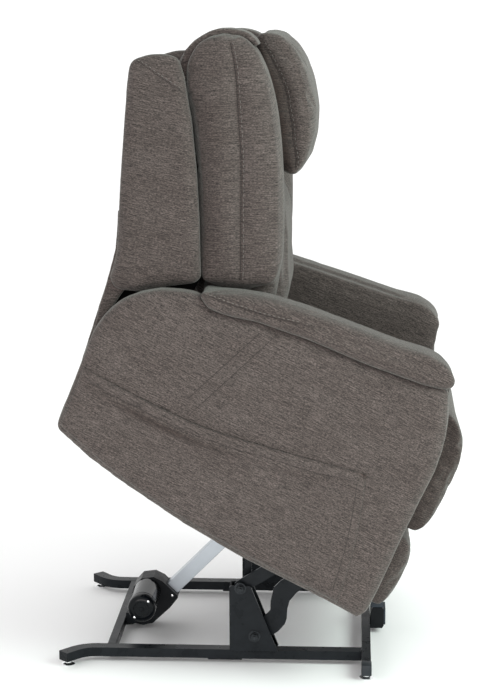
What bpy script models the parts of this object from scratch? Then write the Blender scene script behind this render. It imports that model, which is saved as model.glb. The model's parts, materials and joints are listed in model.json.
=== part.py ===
"""Lift recliner chair, standing on its floor base in the fully lifted pose.

World frame: metres, +Z up, +X to the chair's front, +Y to the sitter's left. The origin is on
the floor, at the middle of the whole chair's bounding box. The floor base, the lift links and the
lift actuator are drawn in world coordinates. Everything that tips with the seat is drawn in the
chair's own level frame: x forward and z up from the bottom front corner of the arms. The chair
frame is then hung on the lift links, tipped forward by LIFT_TILT.
"""

import math

import bmesh
import bpy
from mathutils import Matrix, Vector

# ---------------------------------------------------------------- driving dimensions

LIFT_TILT = math.radians(27.0)          # the seat's forward tip when fully lifted
CHAIR_CORNER = Vector((0.2285, 0.0, 0.171))   # bottom front corner of the arms, lifted
CHAIR_PIVOT = Vector((-0.095, 0.0, 0.030))    # where the lower links carry the chair, chair frame

LOWER_PIVOT = Vector((-0.0095, 0.0, 0.071))   # foot of the lower lift links
UPPER_PIVOT = Vector((-0.0415, 0.0, 0.187))   # foot of the upper lift links
UPPER_LINK_END = Vector((-0.120, 0.0, 0.1034))   # head of the upper links, chair frame
ACTUATOR_PIVOT = Vector((-0.3195, 0.0, 0.030))   # tail of the lift actuator
ACTUATOR_AXIS_POINT = Vector((-0.2315, 0.0, 0.0925))
ACTUATOR_ANGLE = math.radians(45.0)
ROD_END = Vector((0.090, 0.0, 0.414))         # head of the lift actuator, lifted

RECLINE_PIVOT = Vector((-0.660, 0.0, 0.360))
RECLINE_CRANK = Vector((-0.660, 0.0, 0.250))
RECLINE_ACTUATOR_PIVOT = Vector((-0.290, 0.0, 0.235))
HEADREST_PIVOT = Vector((-0.675, 0.0, 0.830))
LEGREST_PIVOT = Vector((-0.045, 0.0, 0.445))
REAR_LINK_PIVOT = Vector((-0.110, 0.0, 0.250))
FRONT_LINK_PIVOT = Vector((-0.055, 0.0, 0.150))
LINK_KNEE = Vector((-0.2551, 0.0, 0.1051))
LEGREST_ACTUATOR_PIVOT = Vector((-0.450, 0.0, 0.210))
LEGREST_CRANK = Vector((-0.1595, 0.0, 0.2005))

FLOOR_GAP = 0.012                       # underside of the base above the floor
RAIL_Y = 0.245                          # rail centre line, from the chair's middle
RAIL_WIDTH = 0.030
RAIL_TOP = 0.034
RAIL_FRONT_X = 0.2397
RAIL_BEND_X = -0.380
RAIL_BEND_ANGLE = math.radians(48.0)
RAIL_BEND_RADIUS = 0.070
RAIL_END_LENGTH = 0.0342
FRONT_BAR_X = (0.2400, 0.2610)
FRONT_BAR_HALF = 0.353
FRONT_BAR_TOP = 0.036
REAR_BAR_X = (-0.3590, -0.3390)
GLIDE_RADIUS = 0.0135

BRACKET_Y = (0.222, 0.268)
BRACKET_PLATE = 0.004
LOWER_LINK_Y = (0.241, 0.247)
UPPER_LINK_Y = (0.252, 0.257)
MECHANISM_Y = (0.2325, 0.2375)
PIN_RADIUS = 0.007
HOLE_RADIUS = 0.0076

ARM_OUTER_Y = (0.390, 0.410)
ARM_INNER_Y = (0.287, 0.303)
ARM_PAD_Y = (0.285, 0.420)
WING_Y = (0.302, 0.340)
BOLSTER_Y = (0.205, 0.283)
BOLSTER_OUTER_Y = 0.330
CENTRE_HALF = 0.200
SEAT_HALF = 0.275
GAP = 0.0005                            # running gap between touching pieces

FABRIC = ((0.115, 0.098, 0.088), 0.95, 0.0)
FABRIC_LIGHT = ((0.135, 0.118, 0.106), 0.95, 0.0)
BLACK_STEEL = ((0.018, 0.020, 0.022), 0.42, 0.6)
ALUMINIUM = ((0.62, 0.65, 0.67), 0.35, 0.9)
CHROME = ((0.75, 0.75, 0.76), 0.12, 1.0)
BLACK_PLASTIC = ((0.022, 0.022, 0.024), 0.5, 0.0)
PLYWOOD = ((0.46, 0.33, 0.20), 0.7, 0.0)

# outlines in the chair frame, (x, z)

ARM_BOTTOM = [(0.012, 0.018), (0.0, 0.0), (-0.298, 0.002), (-0.448, 0.013), (-0.611, 0.035),
              (-0.700, 0.052), (-0.789, 0.079)]
ARM_REAR = [(-0.802, 0.227), (-0.809, 0.305), (-0.803, 0.355), (-0.787, 0.393), (-0.757, 0.431),
            (-0.722, 0.458), (-0.682, 0.476), (-0.651, 0.4865)]
ARM_TOP = [(-0.634, 0.486), (-0.608, 0.473), (-0.562, 0.479), (-0.503, 0.496), (-0.386, 0.512),
           (-0.244, 0.521), (-0.118, 0.537), (-0.062, 0.550)]
ARM_FRONT = [(-0.038, 0.500), (-0.021, 0.462), (-0.010, 0.418), (-0.003, 0.372), (-0.001, 0.300),
             (0.002, 0.223), (0.007, 0.149), (0.012, 0.073)]
PAD_TOP = [(-0.054, 0.560), (-0.057, 0.574), (-0.074, 0.588), (-0.095, 0.595), (-0.129, 0.598),
           (-0.197, 0.586), (-0.304, 0.575), (-0.411, 0.563), (-0.503, 0.548), (-0.567, 0.528),
           (-0.604, 0.513), (-0.629, 0.504), (-0.641, 0.495)]
POCKET_TOP = [(-0.137, 0.304), (-0.219, 0.286), (-0.286, 0.272), (-0.376, 0.255),
              (-0.466, 0.239), (-0.543, 0.231), (-0.790, 0.230)]
WING = [(-0.807, 0.402), (-0.828, 0.416), (-0.846, 0.482), (-0.907, 0.624), (-0.956, 0.745),
        (-0.983, 0.816), (-0.997, 0.869), (-0.969, 0.895), (-0.941, 0.911), (-0.913, 0.918),
        (-0.882, 0.889), (-0.824, 0.812), (-0.766, 0.720), (-0.712, 0.625), (-0.653, 0.511),
        (-0.656, 0.497), (-0.707, 0.461), (-0.761, 0.420)]
BOLSTER_BACK = [(-0.646, 0.512), (-0.706, 0.628), (-0.760, 0.723), (-0.818, 0.815),
                (-0.866, 0.878), (-0.886, 0.924)]
BOLSTER_FRONT = [(-0.883, 0.962), (-0.866, 0.987), (-0.844, 1.005), (-0.813, 1.016),
                 (-0.783, 1.012), (-0.757, 0.997), (-0.735, 0.977), (-0.706, 0.944),
                 (-0.679, 0.909), (-0.648, 0.864), (-0.609, 0.801), (-0.586, 0.757),
                 (-0.565, 0.713), (-0.538, 0.658), (-0.510, 0.598)]
BOLSTER_INNER_TAIL = [(-0.494, 0.556), (-0.484, 0.508), (-0.476, 0.450), (-0.620, 0.450)]
BOLSTER_OUTER_TAIL = [(-0.506, 0.572), (-0.560, 0.543), (-0.600, 0.527), (-0.643, 0.510)]
TOP_ROLL = [(-0.905, 0.850), (-0.912, 0.900), (-0.905, 0.945), (-0.885, 0.975), (-0.860, 0.995),
            (-0.828, 1.003), (-0.811, 0.995), (-0.803, 0.975), (-0.802, 0.930), (-0.815, 0.870)]
LUMBAR = [(-0.612, 0.740), (-0.588, 0.734), (-0.560, 0.700), (-0.530, 0.650), (-0.505, 0.600),
          (-0.472, 0.545), (-0.462, 0.508), (-0.458, 0.450), (-0.640, 0.450),
          (-0.700, 0.508), (-0.785, 0.728)]
PILLOW = [(-0.607, 0.792), (-0.589, 0.786), (-0.570, 0.789), (-0.561, 0.802), (-0.559, 0.831),
          (-0.569, 0.880), (-0.594, 0.935), (-0.635, 0.990), (-0.673, 1.025), (-0.709, 1.048),
          (-0.737, 1.056), (-0.761, 1.051), (-0.781, 1.040), (-0.787, 1.026), (-0.775, 0.985),
          (-0.700, 0.840), (-0.660, 0.800)]
REAR_COVER = [(-0.807, 0.200), (-0.832, 0.368), (-0.846, 0.482), (-0.907, 0.624),
              (-0.956, 0.745), (-0.983, 0.816), (-0.988, 0.850)]
REAR_COVER_THICKNESS = 0.012
UPPER_PAD = [(0.018, 0.440), (0.038, 0.432), (0.055, 0.389), (0.060, 0.335), (0.062, 0.280),
             (0.061, 0.235), (0.054, 0.205), (0.040, 0.189)]
LOWER_PAD = [(0.040, 0.179), (0.056, 0.162), (0.066, 0.120), (0.068, 0.064), (0.066, 0.020),
             (0.056, -0.005)]


# ---------------------------------------------------------------- helpers

def clear_scene():
    for item in list(bpy.data.objects):
        bpy.data.objects.remove(item, do_unlink=True)


def finish(item, look):
    """Give a piece its own Principled material: colour, roughness, metallic."""
    colour, roughness, metallic = look
    material = bpy.data.materials.new(item.name + "_finish")
    material.use_nodes = True
    shader = material.node_tree.nodes["Principled BSDF"]
    shader.inputs["Base Color"].default_value = (*colour, 1.0)
    shader.inputs["Roughness"].default_value = roughness
    shader.inputs["Metallic"].default_value = metallic
    item.data.materials.clear()
    item.data.materials.append(material)


def piece(name, shape, look, pivot=None):
    """Turn a bmesh into a named object, hung on its pivot where it moves."""
    bmesh.ops.recalc_face_normals(shape, faces=shape.faces)
    mesh = bpy.data.meshes.new(name)
    shape.to_mesh(mesh)
    shape.free()
    item = bpy.data.objects.new(name, mesh)
    bpy.context.scene.collection.objects.link(item)
    finish(item, look)
    if pivot:
        item.parent = pivot
        item.location = -Vector(pivot["at"])
    return item


def add_pivot(name, at, parent=None):
    """An empty on a joint's axis. Its children are drawn in its parent's frame."""
    pivot = bpy.data.objects.new(name, None)
    pivot["at"] = list(at)
    bpy.context.scene.collection.objects.link(pivot)
    pivot.location = at
    if parent:
        pivot.parent = parent
        pivot.location = at - Vector(parent["at"])
    return pivot


def slab(outline, low_y, high_y):
    """A plate: an (x, z) outline given a thickness along y."""
    shape = bmesh.new()
    near = [shape.verts.new((x, low_y, z)) for x, z in outline]
    face = shape.faces.new(near)
    grown = bmesh.ops.extrude_face_region(shape, geom=[face])
    moved = [part for part in grown["geom"] if isinstance(part, bmesh.types.BMVert)]
    bmesh.ops.translate(shape, vec=(0.0, high_y - low_y, 0.0), verts=moved)
    return shape


def plan_slab(outline, low_z, high_z):
    """A bar: an (x, y) outline given a height."""
    shape = bmesh.new()
    low = [shape.verts.new((x, y, low_z)) for x, y in outline]
    face = shape.faces.new(low)
    grown = bmesh.ops.extrude_face_region(shape, geom=[face])
    moved = [part for part in grown["geom"] if isinstance(part, bmesh.types.BMVert)]
    bmesh.ops.translate(shape, vec=(0.0, 0.0, high_z - low_z), verts=moved)
    return shape


def block(low, high):
    shape = bmesh.new()
    size = Vector(high) - Vector(low)
    middle = (Vector(high) + Vector(low)) / 2
    place = Matrix.Translation(middle) @ Matrix.Diagonal((*size, 1.0))
    bmesh.ops.create_cube(shape, size=1.0, matrix=place)
    return shape


def rod(start, end, radius, sides=16):
    """A round bar between two points."""
    shape = bmesh.new()
    start = Vector(start)
    end = Vector(end)
    turn = (end - start).to_track_quat("Z", "Y").to_matrix().to_4x4()
    place = Matrix.Translation((start + end) / 2) @ turn
    bmesh.ops.create_cone(shape, cap_ends=True, segments=sides, radius1=radius, radius2=radius,
                          depth=(end - start).length, matrix=place)
    return shape


def bar(start, end, width, depth):
    """A rectangular bar between two points of the xz plane: width in the plane, depth in y."""
    along = (Vector(end) - Vector(start)).normalized()
    side = Vector((-along.z, 0.0, along.x)) * width / 2
    corners = [start + side, end + side, end - side, start - side]
    middle = start.y
    return slab([(c.x, c.z) for c in corners], middle - depth / 2, middle + depth / 2)


def arc(centre, radius, first, last, steps):
    """Points of an arc in the xz plane, with the angles in degrees."""
    points = []
    for step in range(steps + 1):
        angle = math.radians(first + (last - first) * step / steps)
        points.append((centre.x + radius * math.cos(angle), centre.z + radius * math.sin(angle)))
    return points


def stadium(start, end, radius):
    """The outline of a straight link with round ends."""
    lean = math.degrees(math.atan2(end.z - start.z, end.x - start.x))
    return arc(start, radius, lean + 90, lean + 270, 8) + arc(end, radius, lean - 90, lean + 90, 8)


def combine(item, other_shape, operation):
    """Apply an exact boolean with a helper shape, in the item's own frame."""
    helper = piece(item.name + "_helper", other_shape, BLACK_STEEL)
    if item.parent:
        helper.parent = item.parent
        helper.location = item.location
    modifier = item.modifiers.new(operation.lower(), "BOOLEAN")
    modifier.operation = operation
    modifier.solver = "EXACT"
    modifier.object = helper
    bpy.context.view_layer.update()
    graph = bpy.context.evaluated_depsgraph_get()
    result = bpy.data.meshes.new_from_object(item.evaluated_get(graph))
    item.modifiers.clear()
    item.data = result
    bpy.data.objects.remove(helper, do_unlink=True)


def drill(item, centre, radius, low_y, high_y):
    """Cut a round hole along y."""
    start = (centre.x, low_y, centre.z)
    end = (centre.x, high_y, centre.z)
    combine(item, rod(start, end, radius), "DIFFERENCE")


def soften(item, width=0.010):
    """Round the long edges of a soft solid."""
    modifier = item.modifiers.new("soft_edge", "BEVEL")
    modifier.width = width
    modifier.segments = 2
    modifier.limit_method = "ANGLE"
    modifier.angle_limit = math.radians(60)


def sides():
    """Right is the sitter's right, at -y."""
    return (("right", -1), ("left", 1))


def span(side, limits):
    """The low and high y of a piece given by its distances from the middle."""
    ends = (side * limits[0], side * limits[1])
    return min(ends), max(ends)


# ---------------------------------------------------------------- floor base

def rail_outline(side):
    """A rail in plan: straight, then bent outwards at the rear."""
    half = RAIL_WIDTH / 2
    path = [(RAIL_FRONT_X, RAIL_Y, 0.0)]
    for step in range(7):
        angle = RAIL_BEND_ANGLE * step / 6
        x = RAIL_BEND_X - RAIL_BEND_RADIUS * math.sin(angle)
        y = RAIL_Y + RAIL_BEND_RADIUS * (1 - math.cos(angle))
        path.append((x, y, angle))
    x, y, angle = path[-1]
    path.append((x - RAIL_END_LENGTH * math.cos(angle), y + RAIL_END_LENGTH * math.sin(angle), angle))
    outer = [(x + half * math.sin(a), side * (y + half * math.cos(a))) for x, y, a in path]
    inner = [(x - half * math.sin(a), side * (y - half * math.cos(a))) for x, y, a in path]
    return outer + inner[::-1]


def rail_tail():
    """The middle of a rail's bent end, from the chair's middle."""
    x = RAIL_BEND_X - RAIL_BEND_RADIUS * math.sin(RAIL_BEND_ANGLE)
    y = RAIL_Y + RAIL_BEND_RADIUS * (1 - math.cos(RAIL_BEND_ANGLE))
    reach = RAIL_END_LENGTH * 0.55
    return x - reach * math.cos(RAIL_BEND_ANGLE), y + reach * math.sin(RAIL_BEND_ANGLE)


def make_base_tubes():
    for label, side in sides():
        rail = plan_slab(rail_outline(side), FLOOR_GAP, RAIL_TOP)
        piece("base_rail_" + label, rail, BLACK_STEEL)
    inner = RAIL_Y - RAIL_WIDTH / 2 - GAP
    low = (REAR_BAR_X[0], -inner, FLOOR_GAP)
    piece("rear_crossbar", block(low, (REAR_BAR_X[1], inner, RAIL_TOP)), BLACK_STEEL)
    low = (FRONT_BAR_X[0], -FRONT_BAR_HALF, FLOOR_GAP)
    high = (FRONT_BAR_X[1], FRONT_BAR_HALF, FRONT_BAR_TOP)
    piece("front_crossbar", block(low, high), BLACK_STEEL)


def make_glides():
    tail_x, tail_y = rail_tail()
    front_x = sum(FRONT_BAR_X) / 2
    for label, side in sides():
        for place, x, y in (("front", front_x, 0.336), ("rear", tail_x, tail_y)):
            start = (x, side * y, 0.0)
            end = (x, side * y, FLOOR_GAP - GAP)
            piece("glide_" + place + "_" + label, rod(start, end, GLIDE_RADIUS, 24), CHROME)


def make_lift_brackets():
    """Folded channels: two cheek plates on a rear web, open to the front."""
    base_z = RAIL_TOP + GAP
    cheek = [(-0.0675, base_z), (0.0445, base_z), (-0.0175, 0.191), (-0.0205, 0.193),
             (-0.0625, 0.193), (-0.0675, 0.189)]
    tall_cheek = [(-0.0675, base_z), (0.0445, base_z), (-0.0175, 0.191), (-0.0175, 0.2455),
                  (-0.0335, 0.2455), (-0.0335, 0.193), (-0.0675, 0.189)]
    for label, side in sides():
        inner, outer = BRACKET_Y
        low_y, high_y = span(side, (inner, inner + BRACKET_PLATE))
        bracket = piece("lift_bracket_" + label, slab(tall_cheek, low_y, high_y), BLACK_STEEL)
        low_y, high_y = span(side, (outer - BRACKET_PLATE, outer))
        low_y_web, high_y_web = span(side, (inner + 0.001, outer - 0.001))
        web = block((-0.0675, low_y_web, base_z), (-0.0635, high_y_web, 0.189))
        combine(bracket, web, "UNION")
        combine(bracket, slab(cheek, low_y, high_y), "UNION")
        foot = block((-0.0665, low_y_web, base_z), (0.0435, high_y_web, base_z + 0.0015))
        combine(bracket, foot, "UNION")
        ends = span(side, (inner - 0.01, outer + 0.01))
        drill(bracket, UPPER_PIVOT, HOLE_RADIUS, *ends)
        drill(bracket, LOWER_PIVOT, HOLE_RADIUS, *ends)


def make_pivot_bolts():
    """A shank through each bracket with a wide head on its outer face."""
    inner, outer = BRACKET_Y
    for name, pivot in (("upper", UPPER_PIVOT), ("lower", LOWER_PIVOT)):
        for label, side in sides():
            start = (pivot.x, side * (inner - 0.004), pivot.z)
            end = (pivot.x, side * (outer + 0.0060), pivot.z)
            bolt = piece(name + "_pivot_bolt_" + label, rod(start, end, PIN_RADIUS), BLACK_STEEL)
            start = (pivot.x, side * (outer + GAP), pivot.z)
            combine(bolt, rod(start, end, 0.0105, 12), "UNION")


def make_motor_clevis():
    """Two ears on the rear crossbar that hold the tail of the lift actuator."""
    ear = [(REAR_BAR_X[1] + GAP, FLOOR_GAP), (-0.322, 0.014)]
    ear += arc(ACTUATOR_PIVOT, 0.0135, -70, 110, 6)
    ear += [(REAR_BAR_X[1] + GAP, 0.044)]
    clevis = piece("motor_clevis", slab(ear, -0.044, -0.039), BLACK_STEEL)
    combine(clevis, slab(ear, 0.029, 0.034), "UNION")
    low = (REAR_BAR_X[1] + GAP, -0.0435, FLOOR_GAP)
    combine(clevis, block(low, (REAR_BAR_X[1] + 0.003, 0.0335, 0.0435)), "UNION")


def make_front_stop():
    outline = [(FRONT_BAR_X[1] + GAP, FLOOR_GAP), (0.2905, FLOOR_GAP), (0.2945, 0.018),
               (0.2945, 0.060), (0.2905, 0.0645), (0.2680, 0.0645), (FRONT_BAR_X[1] + GAP, 0.050)]
    piece("front_stop", slab(outline, -0.040, 0.024), BLACK_PLASTIC)


# ---------------------------------------------------------------- lift linkage

def chair_to_world(point):
    turn = Matrix.Rotation(LIFT_TILT, 3, "Y")
    return CHAIR_CORNER + turn @ point


def make_lower_links():
    """Bent plates that swing on the lower bolts and carry the chair at their heads."""
    pivot = add_pivot("lower_link_pivot", LOWER_PIVOT)
    head = chair_to_world(CHAIR_PIVOT)
    outline = arc(LOWER_PIVOT, 0.022, 150, 290, 7)
    outline += [(0.0315, 0.067), (0.0445, 0.076), (0.0605, 0.094), (0.0650, 0.109),
                (0.0665, 0.132), (0.0715, 0.151), (0.0885, 0.172)]
    outline += arc(head, 0.020, -48, 130, 8)
    outline += [(0.0515, 0.200), (0.0355, 0.184), (0.0275, 0.150), (0.0265, 0.127),
                (0.0130, 0.113)]
    for label, side in sides():
        low_y, high_y = span(side, LOWER_LINK_Y)
        link = piece("lower_lift_link_" + label, slab(outline, low_y, high_y), BLACK_STEEL, pivot)
        stud_start = (head.x, side * 0.2285, head.z)
        stud_end = (head.x, side * (LOWER_LINK_Y[1] + 0.003), head.z)
        combine(link, rod(stud_start, stud_end, PIN_RADIUS), "UNION")
        drill(link, LOWER_PIVOT, HOLE_RADIUS, *span(side, (0.235, 0.252)))


def make_upper_links():
    pivot = add_pivot("upper_link_pivot", UPPER_PIVOT)
    head = chair_to_world(UPPER_LINK_END)
    for label, side in sides():
        low_y, high_y = span(side, UPPER_LINK_Y)
        link = slab(stadium(UPPER_PIVOT, head, 0.016), low_y, high_y)
        item = piece("upper_lift_link_" + label, link, BLACK_STEEL, pivot)
        drill(item, UPPER_PIVOT, HOLE_RADIUS, *span(side, (0.246, 0.262)))
        drill(item, head, HOLE_RADIUS, *span(side, (0.246, 0.262)))


# ---------------------------------------------------------------- lift actuator

def along_actuator(distance):
    direction = Vector((math.cos(ACTUATOR_ANGLE), 0.0, math.sin(ACTUATOR_ANGLE)))
    return ACTUATOR_AXIS_POINT + direction * distance


def make_lift_actuator():
    pivot = add_pivot("lift_actuator_pivot", ACTUATOR_PIVOT)
    outline = arc(ACTUATOR_PIVOT, 0.0165, 150, 262, 5)
    outline += [(-0.298, 0.0085), (-0.274, 0.0140), (-0.2310, 0.0540), (-0.2115, 0.0790)]
    outline += [(-0.2115, 0.0855), (-0.2480, 0.1220), (-0.2700, 0.1330), (-0.3000, 0.1290)]
    outline += [(-0.3190, 0.1080), (-0.3290, 0.0700)]
    housing = piece("lift_gear_housing", slab(outline, -0.0345, 0.0250), BLACK_PLASTIC, pivot)
    seat = bar(along_actuator(-0.030), along_actuator(0.030), 0.0350, 0.0310)
    combine(housing, seat, "DIFFERENCE")
    motor_axis = (-0.285, 0.097)
    start = (motor_axis[0], -0.0350, motor_axis[1])
    end = (motor_axis[0], -0.1680, motor_axis[1])
    piece("lift_motor", rod(start, end, 0.033, 28), BLACK_PLASTIC, pivot)
    tube_shape = bar(along_actuator(-0.0295), along_actuator(0.315), 0.0340, 0.0300)
    tube = piece("lift_outer_tube", tube_shape, ALUMINIUM, pivot)
    combine(tube, rod(along_actuator(0.010), along_actuator(0.330), 0.0125), "DIFFERENCE")
    slide = add_pivot("lift_rod_slide", along_actuator(0.0), pivot)
    axis_length = (ROD_END - ACTUATOR_AXIS_POINT).length
    plunger = rod(along_actuator(0.150), along_actuator(axis_length), 0.0100)
    plunger_item = piece("lift_rod", plunger, CHROME, slide)
    eye = slab(arc(ROD_END, 0.0150, 0, 330, 11), -0.0110, 0.0110)
    combine(plunger_item, eye, "UNION")


# ---------------------------------------------------------------- chair carcass

def make_mechanism(chair):
    """Steel side plates under the seat, joined by the tube that the lift rod pushes."""
    outline = [(-0.560, 0.190), (-0.165, 0.190), (-0.148, 0.100)]
    outline += arc(CHAIR_PIVOT, 0.0200, 190, 350, 8)
    outline += [(-0.066, 0.100), (-0.050, 0.190), (-0.050, 0.280), (-0.560, 0.280)]
    for label, side in sides():
        low_y, high_y = span(side, MECHANISM_Y)
        plate = piece("mechanism_plate_" + label, slab(outline, low_y, high_y), BLACK_STEEL, chair)
        drill(plate, CHAIR_PIVOT, HOLE_RADIUS, *span(side, (0.228, 0.242)))
    rod_head = Vector((-0.2337, 0.0, 0.1536))
    tube_centre = Vector((-0.2400, 0.0, 0.2620))
    half = MECHANISM_Y[0] - GAP
    start = (tube_centre.x, -half, tube_centre.z)
    tube = piece("lift_cross_tube", rod(start, (tube_centre.x, half, tube_centre.z), 0.014),
                 BLACK_STEEL, chair)
    for side in (-1, 1):
        ear = slab(stadium(rod_head, tube_centre, 0.0165), *span(side, (0.0165, 0.0225)))
        combine(tube, ear, "UNION")


def make_seat(chair):
    rail_half = ARM_INNER_Y[0] - GAP
    low = (-0.085, -rail_half, 0.285)
    piece("seat_front_rail", block(low, (-0.062, rail_half, 0.345)), PLYWOOD, chair)
    low = (-0.580, -rail_half, 0.310)
    piece("seat_rear_rail", block(low, (-0.557, rail_half, 0.345)), PLYWOOD, chair)
    low = (-0.580, -rail_half, 0.3455)
    piece("spring_deck", block(low, (-0.062, rail_half, 0.356)), PLYWOOD, chair)
    outline = [(-0.552, 0.357), (-0.064, 0.357), (-0.052, 0.375), (-0.049, 0.430),
               (-0.060, 0.456), (-0.100, 0.468), (-0.300, 0.446), (-0.440, 0.432),
               (-0.552, 0.424)]
    seat = piece("seat_cushion", slab(outline, -SEAT_HALF, SEAT_HALF), FABRIC_LIGHT, chair)
    soften(seat)
    low = (-0.440, -0.205, 0.290)
    piece("control_box", block(low, (-0.330, -0.125, 0.344)), BLACK_PLASTIC, chair)


def make_arms(chair):
    outline = ARM_BOTTOM + ARM_REAR + ARM_TOP + ARM_FRONT
    inner_outline = [(0.004, 0.060), (-0.600, 0.060), (-0.600, 0.470)] + ARM_TOP[2:] + ARM_FRONT
    front_edge = [(0.010, 0.025)] + [(x, z) for x, z in ARM_FRONT[::-1]]
    inner_edge = [(x - 0.030, z) for x, z in front_edge[::-1]]
    pad_outline = [(x, z + 0.0020) for x, z in ARM_TOP] + PAD_TOP
    for label, side in sides():
        panel = slab(outline, *span(side, ARM_OUTER_Y))
        soften(piece("arm_outer_panel_" + label, panel, FABRIC, chair), 0.006)
        panel = slab(inner_outline, *span(side, ARM_INNER_Y))
        inner = piece("arm_inner_panel_" + label, panel, FABRIC, chair)
        post = slab(front_edge + inner_edge, *span(side, (ARM_INNER_Y[0] + 0.004, 0.3895)))
        combine(inner, post, "UNION")
        pad = slab(pad_outline, *span(side, ARM_PAD_Y))
        soften(piece("arm_pad_" + label, pad, FABRIC_LIGHT, chair))
    pocket = POCKET_TOP + [(-0.780, 0.082), (-0.611, 0.041), (-0.298, 0.008), (-0.049, 0.006),
                           (-0.084, 0.158), (-0.106, 0.225)]
    piece("side_pocket", slab(pocket, -0.4165, -0.4105), FABRIC, chair)


def make_legrest(chair):
    pivot = add_pivot("legrest_pivot", LEGREST_PIVOT, chair)
    low = (-0.040, -0.255, 0.020)
    board = piece("legrest_board", block(low, (-0.026, 0.255, 0.430)), PLYWOOD, pivot)
    ear = stadium(FRONT_LINK_PIVOT, FRONT_LINK_PIVOT + Vector((0.010, 0.0, 0.0)), 0.0120)
    for side in (-1, 1):
        combine(board, slab(ear, *span(side, (0.1740, 0.1790))), "UNION")
    for name, front, top, low_z in (("upper", UPPER_PAD, 0.440, 0.189),
                                    ("lower", LOWER_PAD, 0.179, -0.005)):
        outline = front + [(-0.0255, low_z), (-0.0255, top)]
        pad = piece("legrest_" + name + "_pad", slab(outline, -0.272, 0.272), FABRIC_LIGHT, pivot)
        soften(pad)
    rear = add_pivot("rear_link_pivot", REAR_LINK_PIVOT, chair)
    front = add_pivot("front_link_pivot", FRONT_LINK_PIVOT, pivot)
    for label, side in sides():
        shape = slab(stadium(REAR_LINK_PIVOT, LINK_KNEE, 0.0120), *span(side, (0.1900, 0.1950)))
        piece("legrest_rear_link_" + label, shape, BLACK_STEEL, rear)
        shape = slab(stadium(FRONT_LINK_PIVOT, LINK_KNEE, 0.0120), *span(side, (0.1820, 0.1870)))
        piece("legrest_front_link_" + label, shape, BLACK_STEEL, front)
    make_small_actuator("legrest", chair, LEGREST_ACTUATOR_PIVOT, LEGREST_CRANK, 0.150, (0.160, 0.034))


def make_small_actuator(name, chair, tail, head, y, lengths):
    """A closed housing on a tail pivot with a rod that slides out of its head end.

    lengths: the housing's length ahead of its pivot, and how far along it the rod starts.
    """
    body_length, rod_start = lengths
    pivot = add_pivot(name + "_actuator_pivot", tail, chair)
    lane = Vector((0.0, y, 0.0))
    along = (head - tail).normalized()
    shape = bar(tail + lane - along * 0.020, tail + lane + along * body_length, 0.040, 0.036)
    body = piece(name + "_actuator_body", shape, BLACK_PLASTIC, pivot)
    bore = rod(tail + lane + along * 0.030, tail + lane + along * (body_length + 0.010), 0.0100)
    combine(body, bore, "DIFFERENCE")
    slide = add_pivot(name + "_rod_slide", tail, pivot)
    plunger = rod(tail + lane + along * rod_start, head + lane, 0.0075)
    piece(name + "_actuator_rod", plunger, CHROME, slide)


# ---------------------------------------------------------------- back and headrest

def offset_sheet(line, thickness):
    """Close a line of points into a sheet by stepping forwards by its thickness."""
    return line + [(x + thickness, z) for x, z in line[::-1]]


def make_back(chair):
    pivot = add_pivot("recline_pivot", RECLINE_PIVOT, chair)
    frame_line = [(-0.690, 0.320), (-0.887, 0.836)]
    frame = slab(offset_sheet(frame_line, 0.018), -0.295, 0.295)
    frame_item = piece("back_frame", frame, PLYWOOD, pivot)
    ear_top = Vector((-0.688, 0.0, 0.345))
    for low_y in (-0.1200, -0.0850):
        combine(frame_item, slab(stadium(RECLINE_CRANK, ear_top, 0.0130), low_y, low_y + 0.005),
                "UNION")
    for label, side in sides():
        wing = piece("back_wing_" + label, slab(WING, *span(side, WING_Y)), FABRIC, pivot)
        soften(wing, 0.008)
        inner = BOLSTER_BACK + BOLSTER_FRONT + BOLSTER_INNER_TAIL
        outer = BOLSTER_BACK + BOLSTER_FRONT + BOLSTER_OUTER_TAIL
        bolster = slab(inner, *span(side, BOLSTER_Y))
        bolster_item = piece("back_bolster_" + label, bolster, FABRIC_LIGHT, pivot)
        side_part = slab(outer, *span(side, (BOLSTER_Y[1] - 0.002, BOLSTER_OUTER_Y)))
        combine(bolster_item, side_part, "UNION")
    centre = CENTRE_HALF
    soften(piece("lumbar_cushion", slab(LUMBAR, -centre, centre), FABRIC_LIGHT, pivot))
    soften(piece("back_top_roll", slab(TOP_ROLL, -centre, centre), FABRIC_LIGHT, pivot))
    cover = slab(offset_sheet(REAR_COVER, REAR_COVER_THICKNESS), -0.300, 0.300)
    piece("rear_cover", cover, FABRIC, pivot)
    make_small_actuator("recline", chair, RECLINE_ACTUATOR_PIVOT, RECLINE_CRANK, -0.1, (0.200, 0.120))
    make_headrest(pivot)


def make_headrest(back):
    pivot = add_pivot("headrest_pivot", HEADREST_PIVOT, back)
    board = offset_sheet([(-0.716, 0.845), (-0.778, 0.965)], 0.010)
    piece("headrest_board", slab(board, -0.150, 0.150), PLYWOOD, pivot)
    pillow = piece("headrest_pillow", slab(PILLOW, -0.190, 0.190), FABRIC_LIGHT, pivot)
    soften(pillow)


# ---------------------------------------------------------------- build

def build():
    clear_scene()
    make_base_tubes()
    make_glides()
    make_lift_brackets()
    make_pivot_bolts()
    make_motor_clevis()
    make_front_stop()
    make_lower_links()
    make_upper_links()
    make_lift_actuator()
    chair = add_pivot("chair_pivot", CHAIR_PIVOT)
    chair.location = chair_to_world(CHAIR_PIVOT)
    chair.rotation_euler = (0.0, LIFT_TILT, 0.0)
    make_mechanism(chair)
    make_seat(chair)
    make_arms(chair)
    make_legrest(chair)
    make_back(chair)


build()
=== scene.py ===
import json
import math

import bmesh
import bpy
import numpy as np
from mathutils import Matrix, Vector
from mathutils.bvhtree import BVHTree


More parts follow.
